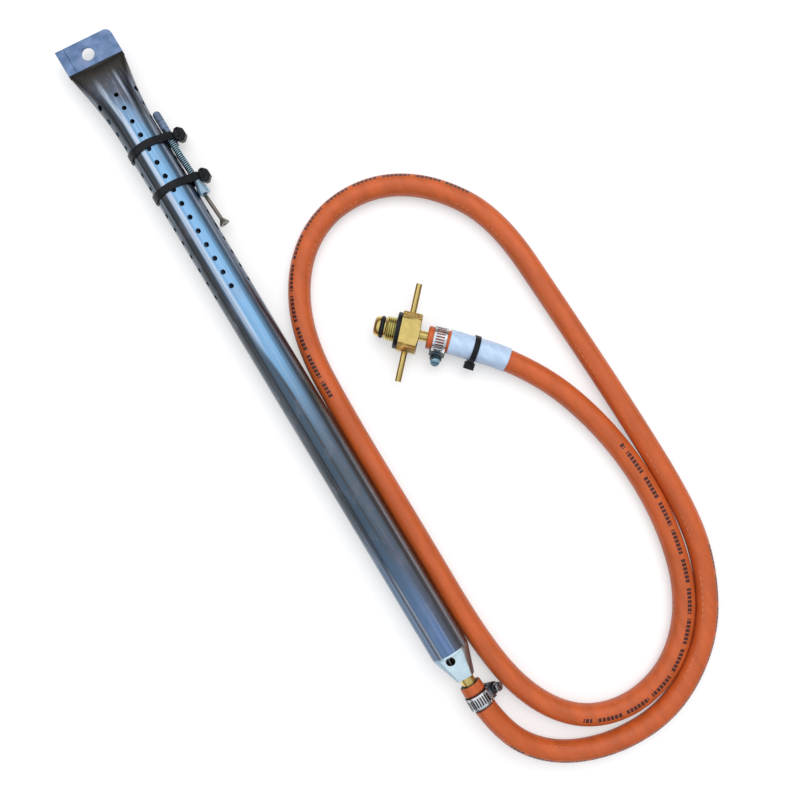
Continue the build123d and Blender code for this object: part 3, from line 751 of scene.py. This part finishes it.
def hose_cover(colours, sizes, burner_clamp):
    """Orange cover: a faint braid under the skin, a row of stitches, and a plain broken line."""
    look = Look("orange_hose_cover", colours.hose, 0.0, 0.38)
    strip = look.node("ShaderNodeUVMap", uv_map="lay").outputs[0]
    split = look.node("ShaderNodeSeparateXYZ", {0: strip})
    along, around = split.outputs["X"], split.outputs["Y"]
    fine = look.grain(0.0012)
    look.cloudy(look.grain(0.03, 0.008), 0.88, 1.14)
    look.tint_where(fine, 0.35, 0.7, 0.25, shaded(colours.hose, 0.8))
    # the hose lies twisted, so the line winds between the outside of the loop and its top:
    # where it starts to turn, where it stops, and how far it has turned
    turned_by = between(along, 0.28, 0.50, 50 / 360, 44 / 360)
    for start, end, degrees in ((0.64, 0.78, -42), (0.80, 1.02, 8), (1.12, 1.25, -4)):
        turned_by = plus(turned_by, between(along, start, end, 0.0, degrees / 360))
    millimetre = MM / (pi * sizes.outside)
    offset = maths("WRAP", minus(around, turned_by), 0.5, -0.5)
    worn = look.grain(0.035, detail=1)
    stitch, dash, dash_group, dark_half = 4.2 * MM, 2.6 * MM, 19.1 * MM, 6.5 * MM
    look.tint(colours.stitch, line_at(offset, -92 / 360, 0.45 * millimetre),
              repeated(along, stitch, 0.62), between(worn, 0.45, 0.60), 0.50)
    look.tint(colours.print, line_at(offset, 0.0, 1.6 * millimetre, solid=0.85),
              repeated(along, sizes.print_repeat, 0.454, 0.045), repeated(along, dash_group, 0.84),
              repeated(along, dash, 0.76), 0.95)
    # painted shade on the cover under the burner's clamp, seen through the band's slots
    look.tint(shaded(colours.hose, 0.09), line_at(along, burner_clamp, dark_half, 0.97, 0.75))
    look.rough(fine, 0.33, 0.46)
    # the braid: two crossing sets of strands that show faintly through the skin
    strands, strand_rise = 12, 4.2 * MM
    turns = times(around, strands * 2 * pi)
    rise = times(along, 2 * pi / strand_rise)
    crossing = plus(maths("SINE", plus(turns, rise)), maths("SINE", minus(turns, rise)))
    look.bump(times(crossing, 0.5), 0.00002, 0.35)
    look.bump(fine, 0.00004, 0.4)
    return look.made()


def film(colours):
    """Blank pale film with faint wrinkles."""
    look = Look("tag_film", colours.tag, 0.0, 0.30)
    wrinkle = look.grain(0.011, 0.003, detail=4)
    fine = look.grain(0.0015, detail=2)
    look.cloudy(wrinkle, 0.88, 1.05)
    look.tint_where(fine, 0.55, 0.75, 0.25, shaded(colours.tag, 0.8))
    look.rough(fine, 0.25, 0.38)
    look.bump(wrinkle, 0.0004, 0.6)
    return look.made()


# ---- the hose's line ----

def hose_line():
    """The route as one smooth spline, read back as closely spaced points."""
    curve = bpy.data.curves.new("hose_route", "CURVE")
    curve.dimensions = "3D"
    curve.resolution_u = 16
    spline = curve.splines.new("NURBS")
    spline.points.add(len(HOSE_ROUTE) - 1)
    for point, place in zip(spline.points, HOSE_ROUTE):
        point.co = (*(value * MM for value in place), 1)
    spline.order_u = 3
    spline.use_endpoint_u = True
    holder = new_object("hose_route", curve)
    line = bpy.data.meshes.new_from_object(holder)
    points = [vertex.co.copy() for vertex in line.vertices]
    bpy.data.objects.remove(holder)
    bpy.data.meshes.remove(line)
    return points


def rings_along(points):
    """For each point: its distance along, its place, and two directions across the line."""
    rings = []
    walked = 0.0
    up = Vector((0, 0, 1))
    for index, here in enumerate(points):
        before = points[max(index - 1, 0)]
        after = points[min(index + 1, len(points) - 1)]
        along = (after - before).normalized()
        walked += (here - before).length
        up = (up - along * up.dot(along)).normalized()
        rings.append((walked, here, up, along.cross(up)))
    return rings


# ---- operators ----

class POKER_OT_stage(bpy.types.Operator):
    """Adds the floor, the world, the lamp and the camera"""
    bl_idname = "poker.stage"
    bl_label = "Stage"

    def execute(self, context):
        settings = context.scene.poker_stage
        context.scene.view_settings.view_transform = "Standard"
        self.add_floor()
        self.add_world(context, settings)
        self.add_lamp(settings)
        self.add_camera(context, settings)
        return {"FINISHED"}

    def add_floor(self):
        deselect()
        bpy.ops.mesh.primitive_plane_add(size=80, location=(0.28, 0.09, GROUND))
        floor = bpy.context.object
        floor.name = "floor"
        look = Look("white_floor", (0.62, 0.62, 0.62), 0.0, 0.9)
        look.inputs["Specular IOR Level"].default_value = 0.0
        look.inputs["Emission Color"].default_value = (1, 1, 1, 1)
        rays = look.node("ShaderNodeLightPath").outputs
        seen = maths("MAXIMUM", rays["Is Camera Ray"], rays["Is Glossy Ray"])
        seen = maths("MAXIMUM", seen, rays["Is Transmission Ray"])
        look.tree.links.new(times(seen, 0.42), look.inputs["Emission Strength"])
        floor.data.materials.append(look.material)

    def add_world(self, context, settings):
        """An open sky overhead, dimmer toward +X, with dark surroundings low down."""
        world = bpy.data.worlds.new("studio")
        world.use_nodes = True
        tree = world.node_tree
        background = tree.nodes["Background"]
        direction = node(tree, "ShaderNodeTexCoord").outputs["Generated"]
        split = node(tree, "ShaderNodeSeparateXYZ", {0: direction})
        sky = mix(between(split.outputs["X"], -0.10, 0.12), (1.0, 1.02, 1.06), (0.66, 0.68, 0.72))
        sky = mix(between(split.outputs["Z"], 0.30, 0.66), (0.20, 0.19, 0.19), sky)
        tree.links.new(sky, background.inputs["Color"])
        background.inputs["Strength"].default_value = settings.sky
        context.scene.world = world

    def add_lamp(self, settings):
        """One broad soft lamp from the side, for form."""
        data = bpy.data.lights.new("side_lamp", "AREA")
        data.shape = "RECTANGLE"
        data.size = data.size_y = 1.4
        data.energy = settings.lamp
        data.color = (1.0, 0.98, 0.95)
        lamp = new_object("side_lamp", data)
        lamp.location = (-0.1, 0.6, 1.5)
        lamp.visible_glossy = False
        toward = Vector((0.3, 0.08, 0)) - lamp.location
        lamp.rotation_euler = toward.to_track_quat("-Z", "Y").to_euler()

    def add_camera(self, context, settings):
        data = bpy.data.cameras.new("camera")
        data.lens = settings.lens
        camera = new_object("camera", data)
        camera.location = settings.camera
        camera.rotation_euler.z = settings.roll
        context.scene.camera = camera


class POKER_OT_hose(bpy.types.Operator):
    """Lays the hose from the burner to the connector"""
    bl_idname = "poker.hose"
    bl_label = "Hose"

    segments = 40
    end_edge = 0.4 * MM
    finer_reach = 14 * MM
    pressed_half = 4.7 * MM
    swell_place = 6.6 * MM
    swell_half = 1.3 * MM

    def execute(self, context):
        sizes, colours = context.scene.poker_hose, context.scene.poker_colours
        worm_height = context.scene.poker_clamps.worm_height
        points = hose_line()
        rings = rings_along(points)
        burner_clamp = clamp_place("burner_clamp_screw_turn", (1, 0, 0), worm_height)
        cylinder_clamp = clamp_place("cylinder_clamp_screw_turn", JOINTS["coupling_nut_spin"]["axis"],
                                     worm_height)
        squeezed = [(burner_clamp.translation - points[0]).length,
                    rings[-1][0] - (cylinder_clamp.translation - points[-1]).length]
        hose = self.tube(self.refined(rings, squeezed), sizes, squeezed)
        hose.data.materials.append(hose_cover(colours, sizes, squeezed[0]))
        hose.data.materials.append(moulded("black_liner", colours.rubber, 0.5))
        stand_for(hose, "gas_hose")
        return {"FINISHED"}

    def refined(self, rings, squeezed):
        """Adds rings beside the clamps, where the hose is pressed in."""
        finer = [rings[0]]
        for before, after in zip(rings, rings[1:]):
            near = min(abs(before[0] - place) for place in squeezed) < self.finer_reach
            steps = 6 if near else 1
            for step in range(1, steps + 1):
                part = step / steps
                finer.append(tuple(low + (high - low) * part for low, high in zip(before, after)))
        return finer

    def radius_at(self, walked, sizes, squeezed):
        radius = sizes.outside / 2
        for place in squeezed:
            away = abs(walked - place)
            radius -= sizes.squeeze * exp(-(away / self.pressed_half) ** 8)
            radius += sizes.swell * exp(-((away - self.swell_place) / self.swell_half) ** 2)
        return radius

    def tube(self, rings, sizes, squeezed):
        """Cover, two end faces and bore, with a map that runs along and around."""
        build = bmesh.new()
        lay = build.loops.layers.uv.new("lay")
        first, last = rings[0], rings[-1]
        profile = [(ring, self.radius_at(ring[0], sizes, squeezed)) for ring in rings]
        profile[0] = (first, profile[0][1] - self.end_edge)
        profile[-1] = (last, profile[-1][1] - self.end_edge)
        profile.append((last, sizes.liner / 2))
        profile += [(ring, sizes.bore / 2) for ring in reversed(rings)]
        profile.append((first, sizes.liner / 2))
        steps = range(self.segments)
        loops = []
        for (walked, place, up, side), radius in profile:
            loops.append([build.verts.new(place + radius * (cos(turn) * up + sin(turn) * side))
                          for turn in (2 * pi * step / self.segments for step in steps)])
        for index, loop in enumerate(loops):
            next_index = (index + 1) % len(loops)
            following = loops[next_index]
            start, end = profile[index][0][0], profile[next_index][0][0]
            for step in steps:
                right = (step + 1) % self.segments
                face = build.faces.new([loop[step], following[step], following[right], loop[right]])
                face.smooth = True
                cover = index < len(rings) or next_index == 0
                face.material_index = 0 if cover else 1
                turns = (step, step, step + 1, step + 1)
                for corner, turn, walked in zip(face.loops, turns, (start, end, end, start)):
                    corner[lay].uv = (walked, turn / self.segments)
        bmesh.ops.recalc_face_normals(build, faces=build.faces)
        mesh = bpy.data.meshes.new("hose_tube")
        build.to_mesh(mesh)
        build.free()
        return new_object("hose_tube", mesh)


class POKER_OT_burner(bpy.types.Operator):
    """Models the burner tube with its lug and ports, the air cone and the hose tail"""
    bl_idname = "poker.burner"
    bl_label = "Burner"

    segments = 128
    body_rings = 12
    flare_rings = 36

    def execute(self, context):
        sizes, colours = context.scene.poker_burner, context.scene.poker_colours
        steel = brushed_steel(colours, sizes)
        shell = smooth(combine(self.shell(sizes), self.port_cutters(sizes)))
        finish_piece(join(shell, self.lug(sizes)), "burner_shell", "burner_tube", steel)
        finish_copy("tail_cone", "air_cone", pressed_cone(colours), sizes.cone_edge, 3, 18)
        tail_brass = brass("tail_brass", colours, Matrix.Translation((0, TUBE_Y, 0)))
        # the gas jet sits in the air cone's hole: near-black brass is painted shade there
        jet_brass_in_shade = moulded("sooty_jet_brass", shaded(colours.brass_tarnish_and_shade, 0.2), 0.6, 0.2)
        finish_copy("burner_hose_tail", "burner_hose_tail_turning", tail_brass)
        finish_copy("gas_jet", "gas_jet_turning", jet_brass_in_shade)
        return {"FINISHED"}

    def shell(self, sizes):
        """Drawn out ring by ring from the open end to the crease, then given its wall."""
        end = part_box("burner_tube")[1].x
        flare_end = sizes.lug_neck + sizes.flare
        shell = primitive("circle", vertices=self.segments, radius=sizes.tube / 2,
                          location=(end, TUBE_Y, 0), rotation=(0, pi / 2, 0))
        edit(shell)
        for _ in range(self.body_rings):
            bpy.ops.mesh.extrude_region_move(
                TRANSFORM_OT_translate={"value": ((flare_end - end) / self.body_rings, 0, 0)})
        here, width, height, skew = 1.0, 1.0, 1.0, 0.0
        flat = 2 * sizes.wall / sizes.tube
        for step in range(self.flare_rings):
            # from 1 where the flare starts to 0 at the crease, with the rings more and more askew
            along = (1 - (step + 1) / self.flare_rings) ** 1.5
            spread = (1 - along ** 1.25) ** 2.6
            rise = 0.06 + 0.94 * (1 - (1 - along) ** 2) ** 0.55
            next_width = 1 + (sizes.lug_width / sizes.tube - 1) * spread
            next_height = flat + (1 - flat) * rise
            next_skew = sizes.lug_skew * (1 - along)
            centre = (sizes.lug_neck + sizes.flare * along, TUBE_Y - sizes.lug_side * (1 - along), 0)
            bpy.ops.mesh.extrude_region_move(TRANSFORM_OT_translate={
                "value": (sizes.flare * (along - here), -sizes.lug_side * (here - along), 0)})
            bpy.ops.transform.resize(value=(1, next_width / width, next_height / height),
                                     center_override=centre)
            bpy.ops.transform.rotate(value=next_skew - skew * width / next_width, orient_axis="Z",
                                     center_override=centre)
            here, width, height, skew = along, next_width, next_height, next_skew
        done_editing()
        edit(shell)
        done_outward()
        return modify(shell, "SOLIDIFY", thickness=sizes.wall, offset=-1)

    def port_cutters(self, sizes):
        """One drill with a deburring cone, copied to every port."""
        top, radius, rim = sizes.tube / 2, sizes.port / 2, sizes.port_rim
        drill = turned([(top - 0.004, radius), (top - rim, radius),
                        (top + 0.0004, radius + rim + 0.0004), (top + 0.002, radius + rim)], 20)
        copies = []
        for row in range(sizes.port_rows):
            turn = 2 * pi / sizes.port_rows * row - sizes.port_roll
            for index in range(sizes.ports):
                x = sizes.first_port + sizes.port_pitch * index
                copy = new_object("drill", drill.data.copy())
                copy.matrix_world = (Matrix.Translation((x, TUBE_Y, 0)) @ Matrix.Rotation(turn, 4, "X")
                                     @ Matrix.Rotation(-pi / 2, 4, "Y"))
                copies.append(copy)
        bpy.data.objects.remove(drill)
        cutters = join(*copies)
        apply_place(cutters)
        return cutters

    def lug(self, sizes):
        """The flattened end: a plate cut askew, with a rounded corner, the hole and the seam."""
        middle = TUBE_Y - sizes.lug_side
        overlap = 2 * sizes.wall
        plate = block((sizes.lug_edge + sizes.lug_neck, sizes.lug_width, 2 * sizes.wall),
                      ((sizes.lug_neck - sizes.lug_edge) / 2, middle, 0))
        for x, pivot, further in ((-sizes.lug_edge, 0, 0), (sizes.lug_neck, middle, overlap)):
            choose(plate, "FACE", lambda corners: all(abs(corner.x - x) < 1e-5 for corner in corners))
            turn_about = (x, pivot, 0)
            bpy.ops.transform.rotate(value=sizes.lug_skew, orient_axis="Z", center_override=turn_about)
            bpy.ops.transform.resize(value=(1, 1 / cos(sizes.lug_skew), 1), center_override=turn_about)
            bpy.ops.transform.translate(value=(further, 0, 0))
            done_editing()
        choose(plate, "EDGE", lambda ends: abs(ends[0].z - ends[1].z) > sizes.wall
               and ends[0].x < 0 and ends[0].y > middle)
        bpy.ops.mesh.bevel(offset=sizes.lug_corner, segments=10)
        done_editing()
        seam_size = (60 * MM, 0.4 * MM, 0.6 * MM)
        combine(plate, block(seam_size, (0, middle - sizes.lug_width / 2 + sizes.seam, sizes.wall)))
        hole = rod(-10 * MM, 10 * MM, sizes.lug_hole, 64)
        hole.matrix_world = Matrix.Rotation(pi / 2, 4, "Y")
        apply_place(hole)
        combine(plate, hole)
        return smooth(soften(plate, sizes.lug_round * 0.5, 3, 50))


class POKER_OT_connector(bpy.types.Operator):
    """Models the cylinder connector: spigot, nose ring, threaded nut, bars and seal"""
    bl_idname = "poker.connector"
    bl_label = "Connector"

    def execute(self, context):
        sizes, colours = context.scene.poker_connector, context.scene.poker_colours
        place = connector_place()
        finish_copy("bull_nose_spigot", "spigot_turning", brass("spigot_brass", colours, place))
        threads = (-sizes.seal_length, sizes.thread / 2 - sizes.depth,
                   sizes.thread / 2 - 0.15 * sizes.depth)
        nut_brass = brass("nut_brass", colours, place, threads=threads)
        finish_piece(self.nut(sizes), "coupling_nut_body", "coupling_nut", nut_brass, place)
        for name, side in (("t_bar_left", 1), ("t_bar_right", -1)):
            turn = Matrix.Rotation(side * pi / 2, 4, "Z")
            spot = place @ Matrix.Translation((sizes.bar_inset, 0, 0)) @ turn
            bar_brass = brass(name + "_brass", colours, spot, place, 0.2)
            finish_piece(self.bar(sizes), name + "_rod", name, bar_brass, spot)
        rubber = moulded("black_seal_rubber", colours.rubber, specular=0.35)
        finish_piece(self.seal(sizes), "seal_ring", "seal_washer", rubber, place)
        finish_copy("nose_o_ring", "nose_ring", rubber, smooth_to=60)
        return {"FINISHED"}

    def nut(self, sizes):
        """Square body with cut corners, a turned back, and a cut thread in front."""
        body = block((sizes.body, sizes.square, sizes.square), (sizes.body / 2, 0, 0))
        choose(body, "EDGE", lambda ends: abs(ends[0].x - ends[1].x) > sizes.body / 2)
        bpy.ops.mesh.bevel(offset=sizes.corner, segments=1)
        done_editing()
        reach = sizes.square * 0.8
        run = (reach - sizes.back / 2) * tan(sizes.back_angle)
        turning = turned([(-0.001, reach), (sizes.body - run, reach), (sizes.body, sizes.back / 2),
                          (sizes.body + 0.0001, sizes.back / 2 - 0.0002)], 128)
        combine(body, turning, "INTERSECT")
        soften(body, sizes.edge, 2, 25)
        root = sizes.thread / 2 - sizes.depth
        core = turned([(-sizes.thread_length, root - 0.0004), (-sizes.thread_length + 0.0004, root),
                       (0.001, root)], 96)
        threads = ridge(-sizes.thread_length, -sizes.seal_length, sizes.thread / 2, sizes.depth,
                        sizes.pitch, 48, sizes.thread_chamfer)
        return join(smooth(body), smooth(core), smooth(threads, 25))

    def bar(self, sizes):
        return smooth(soften(rod(sizes.square / 2 - sizes.bar_depth, sizes.bar_reach, sizes.bar), 0.0004))

    def seal(self, sizes):
        inside, outside = sizes.thread / 2, sizes.seal / 2
        washer = turned([(-sizes.seal_length, inside), (-sizes.seal_length, outside), (0, outside),
                         (0, inside)], 96, ring=True)
        return smooth(soften(washer, 0.0007, 3), 40)


class POKER_OT_clamps(bpy.types.Operator):
    """Finishes the two worm-drive clamps"""
    bl_idname = "poker.clamps"
    bl_label = "Clamps"

    def execute(self, context):
        sizes, colours = context.scene.poker_clamps, context.scene.poker_colours
        housing_zinc = satin_metal("clamp_housing_zinc", shaded(colours.zinc, 0.34), 0.34, wear=0.25,
                                   dark=0.22)
        band_zinc = satin_metal("clamp_band_zinc", colours.zinc, 0.20, wear=0.22, dark=0.16)
        for end, screw_colour in (("burner", shaded(colours.zinc, 0.5)), ("cylinder", colours.worm)):
            screw_zinc = satin_metal(end + "_worm_screw_zinc", screw_colour, 0.24, 0.0008, dark=0.4)
            for part, edge, metal in (("band", sizes.edge, band_zinc),
                                      ("housing", sizes.housing_edge, housing_zinc),
                                      ("screw", sizes.screw_edge, screw_zinc)):
                name = f"{end}_clamp_{part}"
                finish_copy(name, name + "_metal", metal, edge)
        return {"FINISHED"}


class POKER_OT_tag(bpy.types.Operator):
    """Wraps the blank tag round the hose and ties it"""
    bl_idname = "poker.tag"
    bl_label = "Tag"

    inner_edge = radians(152)
    lifted_share = 0.10
    lift = 0.6 * MM
    ripple = 0.16 * MM
    tie_half = 1.8 * MM
    pinch_half = 4 * MM

    def execute(self, context):
        sizes, colours = context.scene.poker_hose, context.scene.poker_colours
        finish_piece(self.wrap(sizes), "tag_wrap", "hose_tag", film(colours))
        finish_copy("tag_tie", "tag_strap", moulded("tag_tie_nylon", colours.nylon, specular=0.3), 0.0003)
        return {"FINISHED"}

    def wrap(self, sizes):
        """A sheet bent round the hose, with its outer edge lifting over the inner one."""
        rings = rings_along(hose_line())
        sheet = primitive("grid", x_subdivisions=20, y_subdivisions=88, size=1)
        inner = sizes.outside / 2 + sizes.tag_slack
        tie_at = sizes.tag_tie_place + self.tie_half
        for vertex in sheet.data.vertices:
            share_along, share_around = vertex.co.x + 0.5, vertex.co.y + 0.5
            place, up, side = self.spot(rings, rings[-1][0] - sizes.tag_start
                                        - share_along * sizes.tag_length)
            turn = self.inner_edge + share_around * (2 * pi + sizes.tag_lap)
            lifted = max(0.0, share_around - 1 + self.lifted_share) / self.lifted_share
            pinch = exp(-((share_along * sizes.tag_length - tie_at) / self.pinch_half) ** 2)
            raised = self.lift * lifted ** 2 + self.ripple * sin(5 * turn + 9 * share_along)
            radius = inner + 2.2 * sizes.tag_film * share_around + raised * (1 - pinch)
            vertex.co = place + radius * (cos(turn) * up + sin(turn) * side)
        edit(sheet)
        done_outward()
        return smooth(modify(sheet, "SOLIDIFY", thickness=sizes.tag_film, offset=0), 40)

    def spot(self, rings, distance):
        """The place at a distance along the hose, and two directions across it."""
        for before, after in zip(rings, rings[1:]):
            if after[0] >= distance:
                part = (distance - before[0]) / (after[0] - before[0])
                return [before[index].lerp(after[index], part) for index in (1, 2, 3)]
        return rings[-1][1:]


class POKER_OT_fixings(bpy.types.Operator):
    """Models the wall plug, the bolt, the screw and the cable ties that hold them"""
    bl_idname = "poker.fixings"
    bl_label = "Fixings"

    def execute(self, context):
        sizes, colours = context.scene.poker_fixings, context.scene.poker_colours
        plug = finish_copy("wall_plug", "plug_body", moulded("plug_nylon", colours.plug), 0.00012,
                           smooth_to=35)
        # the plug is turned on its own axis, so that its slit lies level
        low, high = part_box("wall_plug")
        edit(plug)
        bpy.ops.transform.rotate(value=pi / 2, orient_axis="X", center_override=(low + high) / 2)
        done_editing()
        self.threaded(sizes, "bolt", colours.bolt)
        self.threaded(sizes, "screw", colours.screw)
        nylon = moulded("cable_tie_nylon", colours.nylon, specular=0.3)
        for place in ("front", "rear"):
            finish_copy(f"cable_tie_{place}", f"tie_{place}", nylon, sizes.tie_edge, 3, smooth_to=35)
        return {"FINISHED"}

    def threaded(self, sizes, kind, base):
        """The solid's own head and shank, with a cut thread laid over the shank."""
        diameter, pitch, depth, start, end = (getattr(sizes, kind + ending) for ending in (
            "", "_pitch", "_depth", "_point", "_threaded"))
        node_name = "fixing_" + kind
        piece = smooth(merged_copy(node_name))
        tip, head = self.axis_of(node_name)
        place = placement(tip, head - tip)
        crest = diameter / 2 + depth * 0.45
        threads = ridge(start, end, crest, depth, pitch, 24)
        threads.matrix_world = place
        apply_place(threads)
        metal = plated_thread(kind + "_zinc", base, place, end, diameter / 2, crest - depth * 0.28)
        finish_piece(join(piece, smooth(threads, 25)), kind + "_body", node_name, metal)

    def axis_of(self, node_name):
        """Centres of the two ends of a bar-shaped node that lies nearly along X."""
        vertices = [vertex.co for vertex in frame["nodes"][node_name].data.vertices]
        ends = []
        for furthest in (min, max):
            edge = furthest(vertex.x for vertex in vertices)
            near = [vertex for vertex in vertices if abs(vertex.x - edge) < 0.0004]
            corners = [Vector(value(vertex[axis] for vertex in near) for axis in range(3))
                       for value in (min, max)]
            ends.append((corners[0] + corners[1]) / 2)
        return ends


class POKER_OT_declare(bpy.types.Operator):
    bl_idname = "poker.declare"
    bl_label = "Declare the hose"

    def execute(self, context):
        points = hose_line()
        return {"FINISHED"}


OPERATORS = (POKER_OT_stage, POKER_OT_hose, POKER_OT_burner, POKER_OT_connector, POKER_OT_clamps,
             POKER_OT_tag, POKER_OT_fixings, POKER_OT_declare)


class POKER_PT_panel(bpy.types.Panel):
    """Lists the gas poker's operators and settings"""
    bl_idname = "POKER_PT_panel"
    bl_label = "Fire poker"
    bl_space_type = "VIEW_3D"
    bl_region_type = "UI"
    bl_category = "Fire poker"

    def draw(self, context):
        layout = self.layout
        for operator in OPERATORS:
            layout.operator(operator.bl_idname)
        for name, group in GROUPS.items():
            box = layout.box()
            box.label(text=name.replace("poker_", "").capitalize())
            for key in group.__annotations__:
                box.prop(getattr(context.scene, name), key)


def register():
    for name, group in GROUPS.items():
        bpy.utils.register_class(group)
        setattr(bpy.types.Scene, name, bpy.props.PointerProperty(type=group))
    for made in (*OPERATORS, POKER_PT_panel):
        bpy.utils.register_class(made)


def unregister():
    for made in (POKER_PT_panel, *reversed(OPERATORS)):
        bpy.utils.unregister_class(made)
    for name, group in GROUPS.items():
        delattr(bpy.types.Scene, name)
        bpy.utils.unregister_class(group)


def main():
    register()
    bpy.ops.poker.stage()
    bpy.ops.poker.hose()
    bpy.ops.poker.burner()
    bpy.ops.poker.connector()
    bpy.ops.poker.clamps()
    bpy.ops.poker.tag()
    bpy.ops.poker.fixings()
    bpy.ops.poker.declare()


if __name__ == "__main__":
    main()
